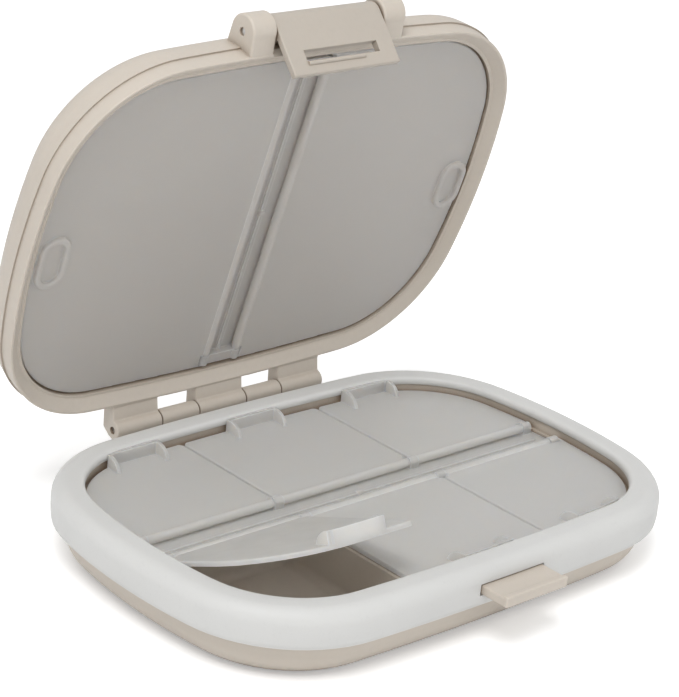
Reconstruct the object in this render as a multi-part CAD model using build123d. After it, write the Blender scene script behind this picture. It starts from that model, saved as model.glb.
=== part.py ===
from build123d import *
import os
from math import cos, radians, sin, sqrt

# Travel pill organizer: a rounded case of two shells joined by a pinned hinge, a soft sealing band
# around the base, and a swinging latch clip on the lid that drops over a catch on the base.
# A frosted rail across the base carries snap covers for six compartments, and a second rail
# across the lid carries covers for two more.
#
# Frame: millimetres, +Z up, X along the hinge, +Y towards the hinge, origin at the centre of the
# flat underside.  Every piece is first drawn with the case closed, then turned to the rest pose.

# ---- rest pose, degrees from the closed case ------------------------------------------------
LID_OPEN = 73.0            # lid standing open
FLAP_OPEN = 22.0           # front left cover standing ajar
LATCH_IN = 33.0            # latch clip hanging inwards against the lid rim

# ---- plan outline: long sides, short sides and corners are tangent arcs ----------------------
HALF_LENGTH = 63.0
HALF_WIDTH = 44.0
LONG_SIDE_R = 690.0
SHORT_SIDE_R = 128.0
CORNER_R = 28.0

# ---- heights ---------------------------------------------------------------------------------
SEAL_TOP = 16.5            # top of the sealing band, where the lid closes
SHELF_Z = 8.4              # shelf of the base shell that carries the band
UPSTAND_TOP = 15.0
LEDGE_Z = 12.4             # ledge under the base covers
FLOOR = 1.8
LID_RIM_Z = SEAL_TOP - 0.7  # crest of the lid rim, outside the band's rounded edge
LID_LIP_Z = SEAL_TOP + 1.2  # small ledge at the foot of the rim's inner slope
LID_LEDGE_Z = SEAL_TOP + 2.8
LID_TOP = SEAL_TOP + 12.0
LID_WALL = 1.7
SKIRT = 3.4                # height of the lid's plain skirt below the dome

# ---- insets of the plan outline ----------------------------------------------------------------
FOOT_INSET = 4.4
BOWL_INSET = 2.4
GROOVE_OUT = 3.7           # groove that takes the band's foot
UPSTAND_OUT = 5.0
UPSTAND_IN = 6.2
SEAL_IN = 6.7
COVER_INSET = 7.0
POCKET_INSET = 7.8
LID_INSET = 0.55
SKIRT_STEP = 0.35          # the dome stands this much proud of the skirt
LID_DOME_INSET = 2.0
CREST_INSET = 1.1
CREST_R = 0.22
SLOPE_INSET = 3.3
LID_RECESS_INSET = 4.0
LID_COVER_INSET = 4.4
LID_POCKET_INSET = 6.0

FOOT_R = 6.5
DOME_R = 7.5
GROOVE_Z = 6.2

# ---- sealing band ---------------------------------------------------------------------------
SEAL_GAP = 0.05
SEAL_OUT_R = 3.2
SEAL_IN_R = 0.8
SEAL_LIP_Z = 15.3
SEAL_LIP = 0.6             # height of the lip that hooks over the upstand
SEAL_FOOT_UP = 0.4         # room under the band's foot in its groove
SEAL_NOTCH_GAP = 0.3       # around the catch

# ---- compartments ------------------------------------------------------------------------------
DIVIDER_X = 19.0
DIVIDER = 1.2
RIB_Y = 1.1                # centre of the rib between the front and back rows
RIB = 1.0
BOSS_R = 0.8               # small boss at the middle of each hinge rail
BOSS_UP = 0.5
POCKET_R = 2.0

# ---- covers and their snap hinges --------------------------------------------------------------
PLATE = 1.0
PLATE_Z = 12.5             # underside of the base covers
AXIS_OFF = 4.3             # hinge line of each cover from the centre of its rib
BARREL_R = 1.0
PEG_R = 0.7
PEG_HOLE_R = 0.76
PEG = 1.0
EAR = 2.4
EAR_R = 1.15
NOTCH = 1.5                # plate cut back from the hinge line beside an ear
RAIL = 1.1                 # thickness of the rail that lies on a rib and carries the hinge ears
RAIL_GAP = 0.2             # between the rail and the hinge barrels above it
RAIL_HALF = AXIS_OFF + BARREL_R + 0.3
RAIL_END_GAP = 0.85        # from the upstand's inner wall to the ends of the base rail
SEAT_GAP = 0.05            # around the rail in its seat
SIDE_GAP = 0.25
COVER_CORNER_R = 1.2
COVER_EDGE_R = 0.3
END_GAP = 0.12
END_X = 52.6               # inner face of the outermost base ears
END_Y = 36.6               # inner face of the end ears in the lid
TAB_X = 33.0
TAB_SET_BACK = 0.7         # outer tabs sit further in, where the outline curves away
TAB_FOOT = 0.2             # flat strip between a tab's inner end and its side ramps
TAB_HALF = 6.75
TAB_DEEP = 5.0
TAB_WALL = 0.8
TAB_BULGE = 0.6            # how far the side walls of a tab arch above a straight ramp
TAB_TOP = SEAL_TOP - 0.3
LOOP_X = 54.4              # raised grip loops on the lid covers
LOOP_Y = 1.1
LOOP_LONG = 12.4
LOOP_WIDE = 7.4
LOOP_WALL = 1.5
LOOP_UP = 1.0
LOOP_R = 0.5

# ---- case hinge ----------------------------------------------------------------------------------
HINGE_Y = 48.1
HINGE_Z = 14.3
KNUCKLE_R = 2.1
PIN_R = 0.8
PIN_HOLE_R = 0.85
KNUCKLE_EDGE_R = 0.3
BRACKET_TOP = SHELF_Z - 0.2
LID_KNUCKLES = [(-29.0, -17.0), (-6.5, 6.5), (17.0, 29.0)]
BASE_KNUCKLES = [(-16.75, -6.75), (6.75, 16.75)]
HINGE_PIN_HALF = 28.4

# ---- latch -----------------------------------------------------------------------------------------
LATCH_Y = -46.6
LATCH_Z = SEAL_TOP + 3.6
LATCH_HALF = 14.0
LATCH_R = 2.8
LATCH_DROP = 11.8
LATCH_PLATE = 1.5
SLOT_HALF = 9.7
SLOT_Z = LATCH_Z - 7.8
SLOT_TALL = 2.4
LUG = 6.0
LUG_R = 3.6
LUG_GAP = 0.3
RELIEF_DEEP = 2.6          # slanted relief of the lid rim behind the clip
RELIEF_TALL = 3.0
LATCH_PIN_HALF = LATCH_HALF + LUG_GAP + LUG - 0.4
CATCH_HALF = 8.5
CATCH_TIP_Y = -50.8
CATCH_TOP = SEAL_TOP - 3.2
CATCH = 2.0
CATCH_LIP = 0.35           # raised edge along the front of the catch
CATCH_LIP_DEEP = 1.2
CATCH_EDGE_R = 0.35
CATCH_LIP_R = 0.3
RIDGE_R = 0.45             # thumb ridge under the slot
RIDGE_END = 0.55 * SLOT_HALF


# ---- helpers -----------------------------------------------------------------------------------------
def outline(inset):
    """Plan outline moved in by inset, as a face on Z = 0."""
    long_centre = Vector(0, HALF_WIDTH - LONG_SIDE_R)
    side_centre = Vector(HALF_LENGTH - SHORT_SIDE_R, 0)
    reach_long = LONG_SIDE_R - CORNER_R
    reach_side = SHORT_SIDE_R - CORNER_R
    span = side_centre - long_centre
    along = (reach_long ** 2 - reach_side ** 2 + span.length ** 2) / (2 * span.length)
    across = sqrt(reach_long ** 2 - along ** 2)
    unit = span.normalized()
    corner = long_centre + unit * along + Vector(unit.Y, -unit.X) * across
    to_long = (corner - long_centre).normalized()
    to_side = (corner - side_centre).normalized()
    start = long_centre + to_long * (LONG_SIDE_R - inset)
    end = side_centre + to_side * (SHORT_SIDE_R - inset)
    middle = corner + (to_long + to_side).normalized() * (CORNER_R - inset)
    edges = []
    for side in (1, -1):
        edges.append(ThreePointArc((-start.X, side * start.Y), (0, side * (HALF_WIDTH - inset)),
                                   (start.X, side * start.Y)))
        edges.append(ThreePointArc((side * end.X, -end.Y), (side * (HALF_LENGTH - inset), 0),
                                   (side * end.X, end.Y)))
        for end_side in (1, -1):
            edges.append(ThreePointArc((side * start.X, end_side * start.Y),
                                       (side * middle.X, end_side * middle.Y),
                                       (side * end.X, end_side * end.Y)))
    return make_face(edges)


def slab(inset, low, high):
    """Upright slab of the plan outline between two heights."""
    return extrude(Pos(0, 0, low) * outline(inset), amount=high - low)


def taper(inset_low, low, inset_high, high):
    """Slab whose walls lean from one inset to another."""
    return loft([Pos(0, 0, low) * outline(inset_low), Pos(0, 0, high) * outline(inset_high)],
                ruled=True)


def block(x0, x1, y0, y1, z0, z1):
    """Box given by its limits."""
    return Pos((x0 + x1) / 2, (y0 + y1) / 2, (z0 + z1) / 2) * Box(x1 - x0, y1 - y0, z1 - z0)


def rod_x(radius, x0, x1, y, z):
    """Cylinder along X."""
    return Pos((x0 + x1) / 2, y, z) * Rot(0, 90, 0) * Cylinder(radius, x1 - x0)


def rod_y(radius, y0, y1, x, z):
    """Cylinder along Y."""
    return Pos(x, (y0 + y1) / 2, z) * Rot(90, 0, 0) * Cylinder(radius, y1 - y0)


def side_prism(points, x0, x1):
    """Prism along X from a closed outline of (y, z) points."""
    profile = Plane.YZ.offset(x0) * make_face(Polyline(*points, close=True))
    return extrude(profile, amount=x1 - x0)


def soft_prism(points, x0, x1, boss=None, edge_r=0.4, corner_r=0.5):
    """The same with rounded corners and end edges; boss is a disc (radius, y, z) joined to it."""
    profile = make_face(Polyline(*points, close=True))
    if boss:
        radius, y, z = boss
        profile += Pos(y, z) * Circle(radius)
    profile = offset(offset(profile, -corner_r), 2 * corner_r)
    profile = offset(profile, -corner_r)
    prism = extrude(Plane.YZ.offset(x0) * profile, amount=x1 - x0)
    ends = prism.faces().sort_by(Axis.X)
    return fillet(ends[0].edges() + ends[-1].edges(), edge_r)


def window(inset, x0, x1, y0, y1):
    """Part of the plan outline inside a rectangle."""
    return outline(inset) & (Pos((x0 + x1) / 2, (y0 + y1) / 2) * Rectangle(x1 - x0, y1 - y0))


def pocket(inset, x0, x1, y0, y1, mouth, bottom, bottom_r):
    """Rounded hollow from its mouth height to its bottom height."""
    depth = bottom - mouth
    hollow = extrude(Pos(0, 0, mouth) * window(inset, x0, x1, y0, y1), amount=depth)
    hollow = fillet(hollow.edges().filter_by(Axis.Z), POCKET_R)
    order = hollow.faces().sort_by(Axis.Z)
    end_face = order[-1] if depth > 0 else order[0]
    return fillet(end_face.edges(), bottom_r)


def boss(y, top, foot):
    """Small round boss on the rib, rounded at its top; top may lie above or below the foot."""
    depth = top - foot
    post = extrude(Pos(0, y, foot) * Circle(BOSS_R), amount=depth)
    order = post.faces().sort_by(Axis.Z)
    return fillet((order[-1] if depth > 0 else order[0]).edges(), BOSS_R / 2)


def turned(part, y, z, angle):
    """Part turned about a line along X: positive lifts the side that faces -Y."""
    return Pos(0, y, z) * Rot(-angle, 0, 0) * Pos(0, -y, -z) * part


def opened_lid(part):
    return turned(part, HINGE_Y, HINGE_Z, LID_OPEN)


# ---- base --------------------------------------------------------------------------------------------
BASE_CELLS = {
    "left": (-HALF_LENGTH, -DIVIDER_X),
    "middle": (-DIVIDER_X, DIVIDER_X),
    "right": (DIVIDER_X, HALF_LENGTH),
}
COVER_AXIS_Z = PLATE_Z + PLATE / 2
BASE_RAIL_Z = COVER_AXIS_Z - BARREL_R - RAIL_GAP
BASE_RAIL_INSET = UPSTAND_IN + RAIL_END_GAP
BASE_EARS = [(-END_X - EAR, -END_X), (-DIVIDER_X - EAR / 2, -DIVIDER_X + EAR / 2),
             (DIVIDER_X - EAR / 2, DIVIDER_X + EAR / 2), (END_X, END_X + EAR)]


def base_ear(x0, x1, y):
    """Post on the base hinge rail that holds the pegs of the covers beside it."""
    post = block(x0, x1, y - EAR_R, y + EAR_R, BASE_RAIL_Z - RAIL / 2, COVER_AXIS_Z)
    return post + rod_x(EAR_R, x0, x1, y, COVER_AXIS_Z)


def base_knuckle(x0, x1):
    """Hinge knuckle on a bracket that rises clear of the sealing band."""
    root_y = HALF_WIDTH - POCKET_INSET + 1
    return soft_prism([(root_y, 4.0), (HINGE_Y - 1.0, 6.2),
                       (HINGE_Y + KNUCKLE_R, 9.0), (HINGE_Y + KNUCKLE_R, HINGE_Z),
                       (HINGE_Y - KNUCKLE_R, HINGE_Z), (HINGE_Y - KNUCKLE_R, BRACKET_TOP),
                       (root_y, BRACKET_TOP)], x0, x1,
                      boss=(KNUCKLE_R, HINGE_Y, HINGE_Z), edge_r=KNUCKLE_EDGE_R)


def base_shell():
    bowl = taper(FOOT_INSET, 0, BOWL_INSET, SHELF_Z)
    bowl = fillet(bowl.faces().sort_by(Axis.Z)[0].edges(), FOOT_R)
    for x0, x1 in BASE_KNUCKLES:
        bowl += base_knuckle(x0, x1)
    bowl -= slab(GROOVE_OUT, GROOVE_Z, SHELF_Z) - slab(UPSTAND_OUT, GROOVE_Z, SHELF_Z)
    bowl += slab(UPSTAND_OUT, GROOVE_Z, UPSTAND_TOP)
    catch = block(-CATCH_HALF, CATCH_HALF, CATCH_TIP_Y, -HALF_WIDTH + UPSTAND_IN,
                  CATCH_TOP - CATCH, CATCH_TOP)
    bowl += fillet(catch.edges(), CATCH_EDGE_R)
    lip = block(-CATCH_HALF, CATCH_HALF, CATCH_TIP_Y, CATCH_TIP_Y + CATCH_LIP_DEEP,
                CATCH_TOP - CATCH, CATCH_TOP + CATCH_LIP)
    bowl += fillet(lip.edges(), CATCH_LIP_R)
    bowl -= slab(UPSTAND_IN, LEDGE_Z, UPSTAND_TOP)
    for x0, x1 in BASE_CELLS.values():
        for y0, y1 in ((-HALF_WIDTH, RIB_Y - RIB / 2), (RIB_Y + RIB / 2, HALF_WIDTH)):
            bowl -= pocket(POCKET_INSET, x0 + DIVIDER / 2, x1 - DIVIDER / 2, y0, y1,
                           LEDGE_Z, FLOOR, POCKET_R - 0.2)
    bowl -= base_rail_bar(SEAT_GAP)
    bowl -= rod_x(PIN_HOLE_R, BASE_KNUCKLES[0][0] - 1, BASE_KNUCKLES[-1][1] + 1, HINGE_Y, HINGE_Z)
    return bowl


def base_rail_bar(gap):
    """Flat bar across the base on its rib; gap widens it into the seat that the base holds for it."""
    low, high = BASE_RAIL_Z - RAIL - gap, BASE_RAIL_Z + (1 if gap else 0)
    bar = block(-HALF_LENGTH, HALF_LENGTH, RIB_Y - RAIL_HALF - gap, RIB_Y + RAIL_HALF + gap, low, high)
    return bar & slab(BASE_RAIL_INSET - gap, low, high)


def base_hinge_rail():
    rail = base_rail_bar(0)
    rail += block(-END_X, END_X, RIB_Y - RIB / 2, RIB_Y + RIB / 2, BASE_RAIL_Z - RAIL / 2, LEDGE_Z)
    rail += boss(RIB_Y, LEDGE_Z + BOSS_UP, BASE_RAIL_Z)
    for side in (1, -1):
        axis_y = RIB_Y + side * AXIS_OFF
        for x0, x1 in BASE_EARS:
            rail += base_ear(x0, x1, axis_y)
            rail -= rod_x(PEG_HOLE_R, x0, x1, axis_y, COVER_AXIS_Z)
    return rail


def base_gasket():
    """Sealing band: a soft ring over the upstand with a foot in the groove."""
    ring = slab(0, SHELF_Z + SEAL_GAP, SEAL_TOP) - slab(SEAL_IN, SHELF_Z + SEAL_GAP, SEAL_TOP)
    top_face = ring.faces().sort_by(Axis.Z)[-1]
    ring = fillet(top_face.outer_wire().edges(), SEAL_OUT_R)
    top_face = ring.faces().sort_by(Axis.Z)[-1]
    ring = fillet(top_face.inner_wires()[0].edges(), SEAL_IN_R)
    ring -= slab(UPSTAND_OUT - SEAL_GAP, SHELF_Z, UPSTAND_TOP + SEAL_GAP)
    lip_z = SEAL_LIP_Z - SEAL_LIP
    ring += (slab(UPSTAND_IN + SEAL_GAP, lip_z, UPSTAND_TOP + 0.2)
             - slab(SEAL_IN, lip_z, UPSTAND_TOP + 0.2))
    foot_z = GROOVE_Z + SEAL_FOOT_UP
    ring += (slab(GROOVE_OUT + SEAL_GAP, foot_z, SHELF_Z + 0.2)
             - slab(UPSTAND_OUT - SEAL_GAP, foot_z, SHELF_Z + 0.2))
    notch_half = CATCH_HALF + SEAL_NOTCH_GAP
    ring -= block(-notch_half, notch_half, -HALF_WIDTH - 1, -HALF_WIDTH + UPSTAND_OUT,
                  CATCH_TOP - CATCH - SEAL_NOTCH_GAP, CATCH_TOP + 0.2)
    return ring


def finger_tab(x, edge_y, side):
    """Raised three-sided lip at the free edge of a base cover; side is -1 for the front row."""
    inner = edge_y - TAB_DEEP
    low, high = sorted((side * inner, side * HALF_WIDTH))
    lip = extrude(Pos(0, 0, PLATE_Z) * window(COVER_INSET, x - TAB_HALF, x + TAB_HALF, low, high),
                  amount=TAB_TOP - PLATE_Z)
    top = PLATE_Z + PLATE
    foot_y, crown_y = inner + TAB_FOOT, edge_y - TAB_WALL
    foot, crown = (side * foot_y, top), (side * crown_y, TAB_TOP)
    arch = (side * ((foot_y + crown_y) / 2 - TAB_BULGE), (top + TAB_TOP) / 2 + TAB_BULGE)
    above = Polyline(crown, (crown[0], TAB_TOP + 1), (side * (inner - 1), TAB_TOP + 1),
                     (side * (inner - 1), top), foot)
    start_x, length = x - TAB_HALF - 1, 2 * TAB_HALF + 2
    ramp = Plane.YZ.offset(start_x) * make_face([*above.edges(), ThreePointArc(foot, arch, crown)])
    lip -= extrude(ramp, amount=length)
    low, high = sorted((side * (inner - 1), side * (edge_y - TAB_WALL)))
    return lip - block(x - TAB_HALF + TAB_WALL, x + TAB_HALF - TAB_WALL, low, high, top, TAB_TOP + 1)


def base_cover(column, side):
    """One snap cover, closed; side is +1 for the back row and -1 for the front row."""
    x0, x1 = BASE_CELLS[column]
    axis_y = RIB_Y + side * AXIS_OFF
    low, high = sorted((axis_y, side * HALF_WIDTH))
    plate = extrude(Pos(0, 0, PLATE_Z) * window(COVER_INSET, x0 + SIDE_GAP, x1 - SIDE_GAP, low, high),
                    amount=PLATE)
    free_corners = plate.edges().filter_by(Axis.Z).filter_by(lambda e: abs(e.center().Y - axis_y) > 1)
    plate = fillet(free_corners, COVER_CORNER_R)
    plate = fillet(plate.faces().sort_by(Axis.Z)[-1].edges(), COVER_EDGE_R)
    tab_x = {"left": -TAB_X, "middle": 0.0, "right": TAB_X}[column]
    edge_y = HALF_WIDTH - COVER_INSET - (TAB_SET_BACK if tab_x else 0.0)
    cover = plate + finger_tab(tab_x, edge_y, side)
    low, high = sorted((axis_y - side * 2, axis_y + side * NOTCH))
    bounds = []
    for ear_low, ear_high in BASE_EARS:
        if ear_high > x0 and ear_low < x1:
            cover -= block(ear_low - SIDE_GAP, ear_high + SIDE_GAP, low, high, PLATE_Z - 1, TAB_TOP)
            bounds += [ear_low, ear_high]
    start, end = sorted(bounds)[1] + END_GAP, sorted(bounds)[2] - END_GAP
    cover += rod_x(BARREL_R, start, end, axis_y, COVER_AXIS_Z)
    return cover + rod_x(PEG_R, start - PEG, end + PEG, axis_y, COVER_AXIS_Z)


# ---- lid, drawn closed --------------------------------------------------------------------------------
LID_AXIS_Z = SEAL_TOP + 2.2
LID_RAIL_Z = LID_AXIS_Z + BARREL_R + RAIL_GAP
LID_RAIL_INSET = HALF_WIDTH - END_Y - EAR - SEAT_GAP
LID_EARS = [(-END_Y - EAR, -END_Y), (END_Y, END_Y + EAR)]


def lid_ear(y0, y1):
    """Block at one end of the lid hinge rail that holds a peg of each lid cover."""
    reach = AXIS_OFF + EAR_R
    ear = block(-reach, reach, y0, y1, LID_AXIS_Z, LID_RAIL_Z + RAIL / 2)
    ear += block(-AXIS_OFF, AXIS_OFF, y0, y1, LID_AXIS_Z - EAR_R / 2, LID_AXIS_Z)
    for side in (1, -1):
        ear += rod_y(EAR_R, y0, y1, side * AXIS_OFF, LID_AXIS_Z)
    return ear


def lid_arm(x0, x1):
    """Arm from the lid wall to a hinge knuckle."""
    return soft_prism([(HALF_WIDTH - 2.2, LID_RIM_Z + 0.1), (HALF_WIDTH - 0.6, LID_RIM_Z + 0.1),
                       (HINGE_Y - KNUCKLE_R, HINGE_Z + 0.4), (HINGE_Y, HINGE_Z - KNUCKLE_R),
                       (HINGE_Y + KNUCKLE_R, HINGE_Z + 0.6), (HINGE_Y + 1.2, HINGE_Z + 3.2),
                       (HALF_WIDTH - 2.2, LID_RIM_Z + 4.2)], x0, x1,
                      boss=(KNUCKLE_R, HINGE_Y, HINGE_Z), edge_r=KNUCKLE_EDGE_R)


def latch_lug(x0, x1):
    """Rounded lug that carries one end of the latch pin."""
    return soft_prism([(LATCH_Y, LATCH_Z + LUG_R), (-HALF_WIDTH + 4.4, LID_RIM_Z + 8.0),
                       (-HALF_WIDTH + 2.2, LID_RIM_Z + 0.1), (-HALF_WIDTH + 0.6, LID_RIM_Z + 0.1),
                       (LATCH_Y, LATCH_Z - LUG_R)], x0, x1,
                      boss=(LUG_R, LATCH_Y, LATCH_Z), edge_r=0.5)


def lid_shell():
    skirt_top = LID_RIM_Z + SKIRT
    dome = taper(LID_INSET - SKIRT_STEP, skirt_top, LID_DOME_INSET, LID_TOP)
    dome = fillet(dome.faces().sort_by(Axis.Z)[-1].edges(), DOME_R)
    skirt = slab(LID_INSET, LID_RIM_Z, skirt_top)
    skirt -= taper(CREST_INSET, LID_RIM_Z, SLOPE_INSET, LID_LIP_Z)
    dome += fillet(skirt.faces().sort_by(Axis.Z)[0].edges(), CREST_R)
    for x0, x1 in LID_KNUCKLES:
        dome += lid_arm(x0, x1)
    for side in (1, -1):
        inner, outer = LATCH_HALF + LUG_GAP, LATCH_HALF + LUG_GAP + LUG
        dome += latch_lug(*sorted((side * inner, side * outer)))
    dome -= taper(CREST_INSET, LID_RIM_Z, SLOPE_INSET, LID_LIP_Z)
    dome -= slab(LID_RECESS_INSET, LID_LIP_Z, LID_LEDGE_Z)
    for x0, x1 in ((-HALF_LENGTH, -RIB / 2), (RIB / 2, HALF_LENGTH)):
        dome -= pocket(LID_POCKET_INSET, x0, x1, -HALF_WIDTH, HALF_WIDTH,
                       LID_LEDGE_Z, LID_TOP - LID_WALL, POCKET_R - 0.2)
    dome -= lid_rail_bar(SEAT_GAP)
    reach = LATCH_HALF + 0.25
    relief_y = -HALF_WIDTH - 0.5
    dome -= side_prism([(relief_y, LID_RIM_Z - 0.1), (relief_y + RELIEF_DEEP, LID_RIM_Z - 0.1),
                        (relief_y, LID_RIM_Z + RELIEF_TALL)], -reach, reach)
    dome -= rod_x(PIN_HOLE_R, LID_KNUCKLES[0][0], LID_KNUCKLES[-1][1], HINGE_Y, HINGE_Z)
    return dome - rod_x(PIN_HOLE_R, -LATCH_PIN_HALF - 1, LATCH_PIN_HALF + 1, LATCH_Y, LATCH_Z)


def lid_rail_bar(gap):
    """Flat bar across the lid on its rib; gap widens it into the seat that the lid holds for it."""
    low, high = LID_RAIL_Z - (1 if gap else 0), LID_RAIL_Z + RAIL + gap
    bar = block(-RAIL_HALF - gap, RAIL_HALF + gap, -HALF_WIDTH, HALF_WIDTH, low, high)
    return bar & slab(LID_RAIL_INSET - gap, low, high)


def lid_hinge_rail():
    rail = lid_rail_bar(0)
    rail += block(-RIB / 2, RIB / 2, -END_Y, END_Y, LID_LEDGE_Z, LID_RAIL_Z + RAIL / 2)
    rail += boss(0, LID_LEDGE_Z - BOSS_UP, LID_RAIL_Z)
    for y0, y1 in LID_EARS:
        rail += lid_ear(y0, y1)
        for side in (1, -1):
            rail -= rod_y(PEG_HOLE_R, y0, y1, side * AXIS_OFF, LID_AXIS_Z)
    return rail


def lid_cover(side):
    """One cover of the lid, closed; side is -1 for the left and +1 for the right."""
    low, high = sorted((side * AXIS_OFF, side * HALF_LENGTH))
    face_z = LID_AXIS_Z - PLATE / 2
    cover = extrude(Pos(0, 0, face_z) * window(LID_COVER_INSET, low, high, -HALF_WIDTH, HALF_WIDTH),
                    amount=PLATE)
    cover = fillet(cover.faces().sort_by(Axis.Z)[0].edges(), COVER_EDGE_R)
    loop = SlotOverall(LOOP_LONG, LOOP_WIDE) - SlotOverall(LOOP_LONG - 2 * LOOP_WALL,
                                                          LOOP_WIDE - 2 * LOOP_WALL)
    grip = extrude(Pos(side * LOOP_X, LOOP_Y, face_z - LOOP_UP) * Rot(0, 0, 90) * loop,
                   amount=LOOP_UP + 0.2)
    cover += fillet(grip.faces().sort_by(Axis.Z)[0].edges(), LOOP_R)
    low, high = sorted((side * (AXIS_OFF - 2), side * (AXIS_OFF + NOTCH)))
    for y0, y1 in LID_EARS:
        cover -= block(low, high, y0 - SIDE_GAP, y1 + SIDE_GAP, face_z - 1, face_z + PLATE + 1)
    end = END_Y - END_GAP
    cover += rod_y(BARREL_R, -end, end, side * AXIS_OFF, LID_AXIS_Z)
    return cover + rod_y(PEG_R, -end - PEG, end + PEG, side * AXIS_OFF, LID_AXIS_Z)


# ---- latch ---------------------------------------------------------------------------------------------
def latch_clip():
    """Clip hanging straight down, as when it holds the case shut."""
    outer_y = LATCH_Y - LATCH_R
    inner_y = outer_y + LATCH_PLATE
    tip_z = LATCH_Z - LATCH_DROP
    clip = soft_prism([(outer_y, LATCH_Z), (outer_y, tip_z), (inner_y, tip_z),
                       (inner_y, LATCH_Z - LATCH_R - 0.6), (LATCH_Y, LATCH_Z - LATCH_R)],
                      -LATCH_HALF, LATCH_HALF, boss=(LATCH_R, LATCH_Y, LATCH_Z),
                      edge_r=0.25, corner_r=0.4)
    clip += rod_x(RIDGE_R, -SLOT_HALF, RIDGE_END, outer_y, SLOT_Z - SLOT_TALL / 2 - RIDGE_R)
    clip -= block(-SLOT_HALF, SLOT_HALF, outer_y - 3, inner_y + 1,
                  SLOT_Z - SLOT_TALL / 2, SLOT_Z + SLOT_TALL / 2)
    return clip - rod_x(PIN_HOLE_R, -LATCH_HALF, LATCH_HALF, LATCH_Y, LATCH_Z)


def latch_pin():
    return rod_x(PIN_R, -LATCH_PIN_HALF, LATCH_PIN_HALF, LATCH_Y, LATCH_Z)


# ---- every piece at rest, one file each ------------------------------------------------------------------
pieces = {
    "base_shell": base_shell(),
    "base_gasket": base_gasket(),
    "hinge_pin": rod_x(PIN_R, -HINGE_PIN_HALF, HINGE_PIN_HALF, HINGE_Y, HINGE_Z),
    "lid_shell": opened_lid(lid_shell()),
    "lid_cover_left": opened_lid(lid_cover(-1)),
    "lid_cover_right": opened_lid(lid_cover(1)),
    "latch_pin": opened_lid(latch_pin()),
    "latch_clip": opened_lid(turned(latch_clip(), LATCH_Y, LATCH_Z, -LATCH_IN)),
    "base_hinge_rail": base_hinge_rail(),
    "lid_hinge_rail": opened_lid(lid_hinge_rail()),
}
for column in BASE_CELLS:
    pieces["base_cover_back_" + column] = base_cover(column, 1)
    pieces["base_cover_front_" + column] = base_cover(column, -1)
pieces["base_cover_front_left"] = turned(pieces["base_cover_front_left"],
                                         RIB_Y - AXIS_OFF, COVER_AXIS_Z, FLAP_OPEN)

os.makedirs("parts", exist_ok=True)
for name, piece in pieces.items():
    export_step(piece, os.path.join("parts", name + ".step"))
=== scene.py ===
"""Travel pill organizer: looks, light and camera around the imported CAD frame."""
import bmesh
import bpy
from math import atan2, cos, pi, radians, sin, sqrt
from mathutils import Matrix, Vector


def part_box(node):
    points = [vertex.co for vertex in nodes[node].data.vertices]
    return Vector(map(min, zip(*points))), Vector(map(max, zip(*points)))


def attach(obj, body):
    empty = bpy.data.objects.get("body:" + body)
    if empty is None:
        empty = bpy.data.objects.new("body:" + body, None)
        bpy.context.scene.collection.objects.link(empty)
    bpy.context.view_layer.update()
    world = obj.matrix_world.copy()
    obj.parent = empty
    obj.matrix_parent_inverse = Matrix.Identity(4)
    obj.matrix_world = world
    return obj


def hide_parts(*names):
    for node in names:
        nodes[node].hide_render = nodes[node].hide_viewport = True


MM = 0.001

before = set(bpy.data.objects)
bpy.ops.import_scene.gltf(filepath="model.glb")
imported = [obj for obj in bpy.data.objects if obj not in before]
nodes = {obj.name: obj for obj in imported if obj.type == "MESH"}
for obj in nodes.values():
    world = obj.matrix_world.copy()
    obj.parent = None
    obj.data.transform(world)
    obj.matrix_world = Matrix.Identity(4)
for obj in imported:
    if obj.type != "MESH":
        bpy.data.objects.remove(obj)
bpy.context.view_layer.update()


# ---- sizes that the looks share with the case ------------------------------------------------
HALF_LENGTH, HALF_WIDTH = 63.0 * MM, 44.0 * MM
LONG_SIDE_R, SHORT_SIDE_R, CORNER_R = 690.0 * MM, 128.0 * MM, 28.0 * MM
SEAL_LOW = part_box("base_gasket")[0].z
SEAL_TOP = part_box("base_gasket")[1].z


# ---- colours and finishes ------------------------------------------------------------------------
BEIGE = (0.56, 0.505, 0.44)
# painted shade: brown laid into the creases and gaps of the beige plastic
CREASE_SHADE_BROWN = (0.24, 0.175, 0.12)
LATCH_TONE = 0.84          # the clip's beige is tinted a little darker than the shells'
SATIN = 0.42               # roughness of the beige plastic
SILICONE_WHITE = (0.61, 0.61, 0.598)
MILKY = (0.95, 0.925, 0.89)
# painted shade: a darker copy of the milky colour for the lid's covers, which sit in the lid's shade
MILKY_LID_SHADED = (0.88, 0.85, 0.815)
CLEAR = 0.6                # share of the light that passes through a frosted sheet
# painted light: the frosted sheets' edges are painted this near-white
EDGE_WHITE = (0.97, 0.965, 0.95)
EDGE_GLOW = 0.14           # painted glow: emission that stands in for light a frosted sheet carries to its edges
EDGE_ROUND_AND_HIGHLIGHT = 0.25 * MM    # radius of the rounded edges of the beige plastic, and width of the painted highlight along them
SHEET_EDGE = 0.4 * MM      # width of the painted lighter, glowing edges of the frosted sheets
CREASE_REACH = 2.2 * MM    # how far the painted crease shade reaches into the beige plastic
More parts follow.
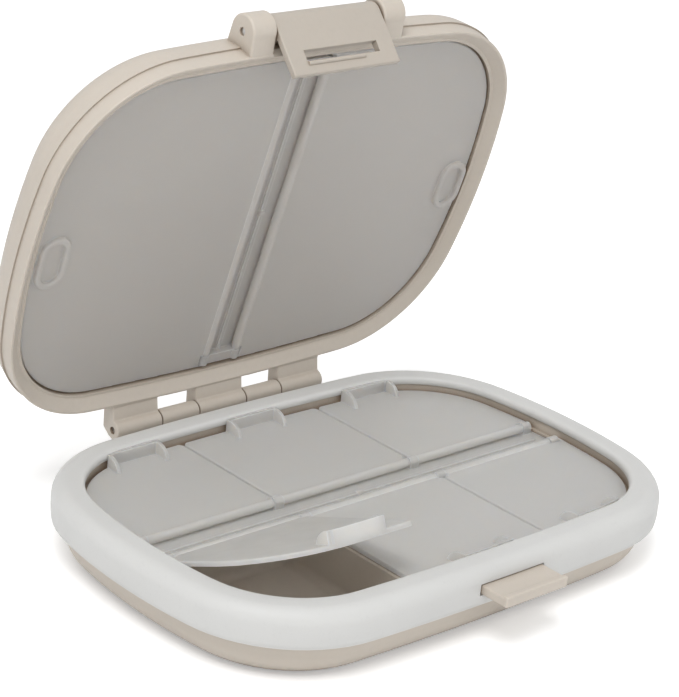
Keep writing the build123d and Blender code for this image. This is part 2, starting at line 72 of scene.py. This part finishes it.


# ---- node material helpers ---------------------------------------------------------------------
class Nodes:
    """Short names for building one material's node tree."""

    def __init__(self, name):
        self.material = bpy.data.materials.new(name)
        self.material.use_nodes = True
        self.tree = self.material.node_tree
        self.shader = self.tree.nodes["Principled BSDF"]
        self.coord = self.add("ShaderNodeTexCoord").outputs["Object"]

    def add(self, kind, **settings):
        node = self.tree.nodes.new(kind)
        for key, value in settings.items():
            setattr(node, key, value)
        return node

    def link(self, source, target):
        self.tree.links.new(source, target)

    def noise(self, scale, detail=3.0, rough=0.5):
        node = self.add("ShaderNodeTexNoise")
        node.inputs["Scale"].default_value = scale
        node.inputs["Detail"].default_value = detail
        node.inputs["Roughness"].default_value = rough
        self.link(self.coord, node.inputs["Vector"])
        return node.outputs["Fac"]

    def spread(self, value, low, high, start=0.3, end=0.7):
        node = self.add("ShaderNodeMapRange")
        for key, number in (("From Min", start), ("From Max", end), ("To Min", low), ("To Max", high)):
            node.inputs[key].default_value = number
        self.link(value, node.inputs["Value"])
        return node.outputs["Result"]

    def mix(self, factor, first, second):
        node = self.add("ShaderNodeMix", data_type="RGBA")
        for socket, value in ((node.inputs[0], factor), (node.inputs[6], first), (node.inputs[7], second)):
            if isinstance(value, (int, float)):
                socket.default_value = value
            elif isinstance(value, tuple):
                socket.default_value = (*value, 1.0)
            else:
                self.link(value, socket)
        return node.outputs[2]

    def bump(self, height, strength, distance, normal=None):
        node = self.add("ShaderNodeBump")
        node.inputs["Strength"].default_value = strength
        node.inputs["Distance"].default_value = distance
        self.link(height, node.inputs["Height"])
        if normal is not None:
            self.link(normal, node.inputs["Normal"])
        return node.outputs["Normal"]

    def soft_edges(self, radius):
        node = self.add("ShaderNodeBevel", samples=4)
        node.inputs["Radius"].default_value = radius
        return node.outputs["Normal"]

    def crease_mask(self, reach):
        """1 deep in creases and gaps, 0 on open faces."""
        node = self.add("ShaderNodeAmbientOcclusion", samples=4)
        node.inputs["Distance"].default_value = reach
        return self.spread(node.outputs["AO"], 1.0, 0.0, 0.25, 0.95)

    def edge_mask(self, rounded, start, end):
        """1 on convex and concave edges, 0 on flats: how far the rounded normal leaves the true one."""
        true_normal = self.add("ShaderNodeNewGeometry").outputs["Normal"]
        dot = self.add("ShaderNodeVectorMath", operation="DOT_PRODUCT")
        self.link(rounded, dot.inputs[0])
        self.link(true_normal, dot.inputs[1])
        size = self.add("ShaderNodeMath", operation="ABSOLUTE")
        self.link(dot.outputs["Value"], size.inputs[0])
        return self.spread(size.outputs["Value"], 1.0, 0.0, start, end)


def tint(colour, factor):
    return tuple(min(1.0, c * factor) for c in colour)


def moulded_plastic(name, colour):
    """Satin moulded plastic: fine spark texture, faint flow variation, painted highlights on the
    rounded edges and painted brown shade in the creases."""
    n = Nodes(name)
    rounded = n.soft_edges(EDGE_ROUND_AND_HIGHLIGHT)
    flow = n.mix(n.spread(n.noise(28.0, 4.0), 0.0, 1.0), tint(colour, 0.965), tint(colour, 1.03))
    speck = n.mix(n.spread(n.noise(900.0, 2.0), 0.0, 0.35, 0.45, 0.75), flow, tint(colour, 0.93))
    # painted highlight: the rounded edges are painted lighter
    edge_highlighted = n.mix(n.spread(n.edge_mask(rounded, 0.93, 0.995), 0.0, 0.5, 0.0, 1.0), speck,
                 tint(colour, 1.3))
    # painted shade: creases and gaps are darkened towards brown by an ambient-occlusion mask
    shaded = n.mix(n.spread(n.crease_mask(CREASE_REACH), 0.0, 0.9, 0.1, 1.0), edge_highlighted, CREASE_SHADE_BROWN)
    n.link(shaded, n.shader.inputs["Base Color"])
    n.link(n.spread(n.noise(160.0, 3.0), SATIN - 0.05, SATIN + 0.06), n.shader.inputs["Roughness"])
    grain = n.bump(n.noise(3200.0, 2.0), 0.18, 0.03 * MM, rounded)
    n.link(n.bump(n.noise(55.0, 2.0), 0.06, 0.12 * MM, grain), n.shader.inputs["Normal"])
    n.shader.inputs["Specular IOR Level"].default_value = 0.42
    n.shader.inputs["Subsurface Weight"].default_value = 0.08
    n.shader.inputs["Subsurface Radius"].default_value = (0.9, 0.6, 0.4)
    n.shader.inputs["Subsurface Scale"].default_value = 0.6 * MM
    return n.material


def silicone(name, colour):
    """Soft matt silicone: cool sheen, light that sinks in, dust-fine bump."""
    n = Nodes(name)
    cloud = n.mix(n.spread(n.noise(35.0, 4.0), 0.0, 1.0), tint(colour, 0.97), tint(colour, 1.02))
    dust = n.mix(n.spread(n.noise(1500.0, 1.0), 0.0, 0.3, 0.6, 0.8), cloud, tint(colour, 0.9))
    n.link(dust, n.shader.inputs["Base Color"])
    n.link(n.spread(n.noise(220.0, 3.0), 0.42, 0.56), n.shader.inputs["Roughness"])
    n.link(n.bump(n.noise(2400.0, 3.0), 0.16, 0.03 * MM), n.shader.inputs["Normal"])
    n.shader.inputs["Subsurface Weight"].default_value = 0.35
    n.shader.inputs["Subsurface Radius"].default_value = (1.0, 0.95, 0.9)
    n.shader.inputs["Subsurface Scale"].default_value = 1.6 * MM
    n.shader.inputs["Sheen Weight"].default_value = 0.12
    n.shader.inputs["Sheen Roughness"].default_value = 0.5
    n.shader.inputs["Specular IOR Level"].default_value = 0.35
    return n.material


def frosted_plastic(name, colour):
    """Milky translucent sheet: light passes through blurred, and its edges are painted lighter with a
    faint glow, as if lit from within.
    """
    n = Nodes(name)
    edge = n.edge_mask(n.soft_edges(SHEET_EDGE), 0.82, 0.99)
    cloud = n.mix(n.spread(n.noise(24.0, 3.0), 0.0, 1.0), tint(colour, 0.985), tint(colour, 1.015))
    # painted light: the sheet's edges are painted near-white and given a faint glow
    n.link(n.mix(edge, cloud, EDGE_WHITE), n.shader.inputs["Base Color"])
    n.link(n.spread(n.noise(180.0, 3.0), 0.32, 0.42), n.shader.inputs["Roughness"])
    n.link(n.bump(n.noise(2800.0, 2.0), 0.14, 0.02 * MM), n.shader.inputs["Normal"])
    n.link(n.spread(edge, 0.0, EDGE_GLOW, 0.0, 1.0), n.shader.inputs["Emission Strength"])
    n.shader.inputs["Emission Color"].default_value = (*EDGE_WHITE, 1.0)
    n.shader.inputs["Transmission Weight"].default_value = CLEAR
    n.shader.inputs["IOR"].default_value = 1.42
    n.shader.inputs["Subsurface Weight"].default_value = 1.0
    n.shader.inputs["Subsurface Radius"].default_value = (1.0, 0.95, 0.88)
    n.shader.inputs["Subsurface Scale"].default_value = 1.2 * MM
    return n.material


def drawn_steel(name):
    """Bright steel wire with fine lengthwise scratches."""
    n = Nodes(name)
    stretch = n.add("ShaderNodeMapping")
    stretch.inputs["Scale"].default_value = (0.04, 1.0, 1.0)
    n.link(n.coord, stretch.inputs["Vector"])
    scratch = n.add("ShaderNodeTexNoise")
    scratch.inputs["Scale"].default_value = 6000.0
    n.link(stretch.outputs["Vector"], scratch.inputs["Vector"])
    shade = n.mix(scratch.outputs["Fac"], (0.5, 0.49, 0.47), (0.72, 0.71, 0.7))
    n.link(shade, n.shader.inputs["Base Color"])
    n.link(n.spread(scratch.outputs["Fac"], 0.2, 0.36), n.shader.inputs["Roughness"])
    n.link(n.bump(scratch.outputs["Fac"], 0.2, 0.01 * MM), n.shader.inputs["Normal"])
    n.shader.inputs["Metallic"].default_value = 1.0
    return n.material


beige = moulded_plastic("beige_plastic", BEIGE)
latch_beige = moulded_plastic("latch_plastic", tint(BEIGE, LATCH_TONE))
white_silicone = silicone("white_silicone", SILICONE_WHITE)
milky_base = frosted_plastic("milky_base_cover", MILKY)
# the lid covers get the darker, painted-shade copy of the frosted plastic
milky_lid_shaded = frosted_plastic("shaded_milky_lid_cover", MILKY_LID_SHADED)
steel = drawn_steel("drawn_steel")


def dress(names, material):
    for name in names:
        obj = nodes[name]
        obj.data.materials.clear()
        obj.data.materials.append(material)


dress(["base_shell", "lid_shell"], beige)
dress(["latch_clip"], latch_beige)
dress([name for name in nodes if name.startswith(("base_cover", "base_hinge_rail"))], milky_base)
dress([name for name in nodes if name.startswith(("lid_cover", "lid_hinge_rail"))], milky_lid_shaded)
dress(["hinge_pin", "latch_pin"], steel)


# ---- plan outline, as points with their outward normals --------------------------------------------
def outline_ring(inset, per_arc):
    """Closed ring of points on the plan outline moved in by inset, counter-clockwise."""
    long_centre = Vector((0, HALF_WIDTH - LONG_SIDE_R))
    side_centre = Vector((HALF_LENGTH - SHORT_SIDE_R, 0))
    reach_long, reach_side = LONG_SIDE_R - CORNER_R, SHORT_SIDE_R - CORNER_R
    span = side_centre - long_centre
    along = (reach_long ** 2 - reach_side ** 2 + span.length ** 2) / (2 * span.length)
    across = sqrt(reach_long ** 2 - along ** 2)
    unit = span.normalized()
    corner = long_centre + unit * along + Vector((unit.y, -unit.x)) * across
    side_angle = atan2(corner.y - side_centre.y, corner.x - side_centre.x)
    long_angle = atan2(corner.y - long_centre.y, corner.x - long_centre.x)
    arcs = [(side_centre, SHORT_SIDE_R, 0.0, side_angle), (corner, CORNER_R, side_angle, long_angle),
            (long_centre, LONG_SIDE_R, long_angle, pi / 2)]
    quarter = []
    for centre, radius, start, end in arcs:
        for step in range(per_arc):
            angle = start + (end - start) * step / per_arc
            quarter.append(centre + Vector((cos(angle), sin(angle))) * (radius - inset))
    top = Vector((0, HALF_WIDTH - inset))
    half = quarter + [top] + [Vector((-p.x, p.y)) for p in reversed(quarter[1:])]
    left = Vector((-(HALF_LENGTH - inset), 0))
    return half + [left] + [Vector((p.x, -p.y)) for p in reversed(half[1:])]


def finished(name, mesh, material, body):
    obj = bpy.data.objects.new(name, mesh)
    bpy.context.scene.collection.objects.link(obj)
    obj.data.materials.append(material)
    for polygon in obj.data.polygons:
        polygon.use_smooth = True
    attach(obj, body)
    return obj


def apply_modifiers(obj):
    depsgraph = bpy.context.evaluated_depsgraph_get()
    mesh = bpy.data.meshes.new_from_object(obj.evaluated_get(depsgraph))
    obj.modifiers.clear()
    old = obj.data
    obj.data = mesh
    bpy.data.meshes.remove(old)


# ---- sealing band ------------------------------------------------------------------------------------
def arc_points(centre, radius, start, end, steps):
    return [(centre[0] + radius * cos(radians(start + (end - start) * k / steps)),
             centre[1] + radius * sin(radians(start + (end - start) * k / steps)))
            for k in range(steps + 1)]


BAND_SHELF = 8.45          # millimetres, where the band rests on the case's shelf
BAND_SHOULDER_R = 3.2
BAND_LIP_R = 0.8
CATCH_OPENING = ((-8.8, -46.0, 11.0), (8.8, -39.2, 13.5))    # millimetres, low and high corner


def band_profile():
    """Section of the band as (inset, height) in millimetres, walked from the outer foot upwards."""
    low, top, shelf = SEAL_LOW / MM, SEAL_TOP / MM, BAND_SHELF
    outer = [(1.1, shelf), (0.55, shelf + 0.12), (0.2, shelf + 0.5), (0.05, shelf + 1.4),
             (0.0, shelf + 3.0)]
    shoulder = arc_points((BAND_SHOULDER_R, top - BAND_SHOULDER_R), BAND_SHOULDER_R, 180, 90, 9)
    lip = [(4.6, top - 0.02)] + arc_points((5.9, top - BAND_LIP_R), BAND_LIP_R, 90, 0, 5)
    inner = [(6.7, 14.95), (6.5, 14.75), (6.27, 14.8), (6.25, 15.03), (4.95, 15.05), (4.93, low),
             (3.77, low), (3.77, shelf)]
    return outer + shoulder + lip + inner


def sealing_band():
    profile = band_profile()
    rings = [outline_ring(inset * MM, 14) for inset, _ in profile]
    mesh = bmesh.new()
    grid = [[mesh.verts.new((p.x, p.y, z * MM)) for p in ring] for ring, (_, z) in zip(rings, profile)]
    count = len(grid[0])
    for row, next_row in zip(grid, grid[1:] + grid[:1]):
        for k in range(count):
            mesh.faces.new((row[k], row[(k + 1) % count], next_row[(k + 1) % count], next_row[k]))
    bmesh.ops.recalc_face_normals(mesh, faces=mesh.faces)
    data = bpy.data.meshes.new("sealing_band")
    mesh.to_mesh(data)
    mesh.free()
    band = finished("sealing_band", data, white_silicone, "base")
    cutter = box_mesh("catch_cutter", *CATCH_OPENING)
    cut = band.modifiers.new("catch", "BOOLEAN")
    cut.operation = "DIFFERENCE"
    cut.solver = "EXACT"
    cut.object = cutter
    apply_modifiers(band)
    bpy.data.objects.remove(cutter)
    for polygon in band.data.polygons:
        polygon.use_smooth = True
    band.data.set_sharp_from_angle(angle=radians(50))
    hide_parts("base_gasket")
    return band


def box_mesh(name, low, high):
    mesh = bmesh.new()
    size = [(b - a) * MM for a, b in zip(low, high)]
    centre = [(a + b) / 2 * MM for a, b in zip(low, high)]
    bmesh.ops.create_cube(mesh, size=1.0, matrix=Matrix.Translation(centre) @ Matrix.Diagonal((*size, 1)))
    data = bpy.data.meshes.new(name)
    mesh.to_mesh(data)
    mesh.free()
    obj = bpy.data.objects.new(name, data)
    bpy.context.scene.collection.objects.link(obj)
    return obj


sealing_band()


# ---- floor, light and camera ---------------------------------------------------------------------------
FLOOR_GLOW = 0.3          # a little light of its own, so that the floor reads as a white sweep


def floor():
    n = Nodes("pale_floor")
    n.link(n.mix(n.spread(n.noise(3.0, 2.0), 0.0, 1.0), (0.93, 0.93, 0.93), (0.95, 0.95, 0.95)),
           n.shader.inputs["Base Color"])
    n.shader.inputs["Roughness"].default_value = 0.9
    n.shader.inputs["Specular IOR Level"].default_value = 0.1
    seen = n.add("ShaderNodeLightPath").outputs["Is Camera Ray"]
    n.link(n.spread(seen, 0.0, FLOOR_GLOW, 0.0, 1.0), n.shader.inputs["Emission Strength"])
    n.shader.inputs["Emission Color"].default_value = (1.0, 1.0, 1.0, 1.0)
    mesh = bmesh.new()
    bmesh.ops.create_grid(mesh, x_segments=1, y_segments=1, size=6.0)
    data = bpy.data.meshes.new("floor")
    mesh.to_mesh(data)
    mesh.free()
    obj = bpy.data.objects.new("floor", data)
    bpy.context.scene.collection.objects.link(obj)
    obj.data.materials.append(n.material)


def area_light(name, place, target, size, watts, colour=(1, 1, 1)):
    data = bpy.data.lights.new(name, "AREA")
    data.shape = "DISK"
    data.size = size
    data.energy = watts
    data.color = colour
    obj = bpy.data.objects.new(name, data)
    bpy.context.scene.collection.objects.link(obj)
    obj.location = place
    obj.rotation_euler = (Vector(target) - Vector(place)).to_track_quat("-Z", "Y").to_euler()


def studio():
    world = bpy.data.worlds.new("studio")
    bpy.context.scene.world = world
    world.use_nodes = True
    background = world.node_tree.nodes["Background"]
    background.inputs["Color"].default_value = (1.0, 1.0, 1.0, 1.0)
    background.inputs["Strength"].default_value = 0.66
    area_light("key", (-0.45, -0.3, 0.95), (0, 0, 0.03), 0.5, 6.0)
    area_light("front_fill", (-0.2, -0.9, 0.3), (0, 0, 0.03), 0.5, 0.6)
    bpy.context.scene.view_settings.view_transform = "Standard"


CAMERA_AIM = Vector((1.1, 12.3, 40.3)) * MM
CAMERA_AZIMUTH = radians(43.75)
CAMERA_DROP = radians(22.05)
CAMERA_ROLL = radians(5.67)
CAMERA_DISTANCE = 488.1 * MM
CAMERA_LENS = 121.66


def camera():
    forward = Vector((sin(CAMERA_AZIMUTH) * cos(CAMERA_DROP), cos(CAMERA_AZIMUTH) * cos(CAMERA_DROP),
                      -sin(CAMERA_DROP)))
    data = bpy.data.cameras.new("camera")
    data.lens = CAMERA_LENS
    data.sensor_width = 36.0
    data.clip_start = 0.01
    obj = bpy.data.objects.new("camera", data)
    bpy.context.scene.collection.objects.link(obj)
    level = forward.to_track_quat("-Z", "Y").to_matrix()
    obj.matrix_world = Matrix.Translation(CAMERA_AIM - forward * CAMERA_DISTANCE) @ (
        level @ Matrix.Rotation(CAMERA_ROLL, 3, "Z")).to_4x4()
    bpy.context.scene.camera = obj


floor()
studio()
camera()
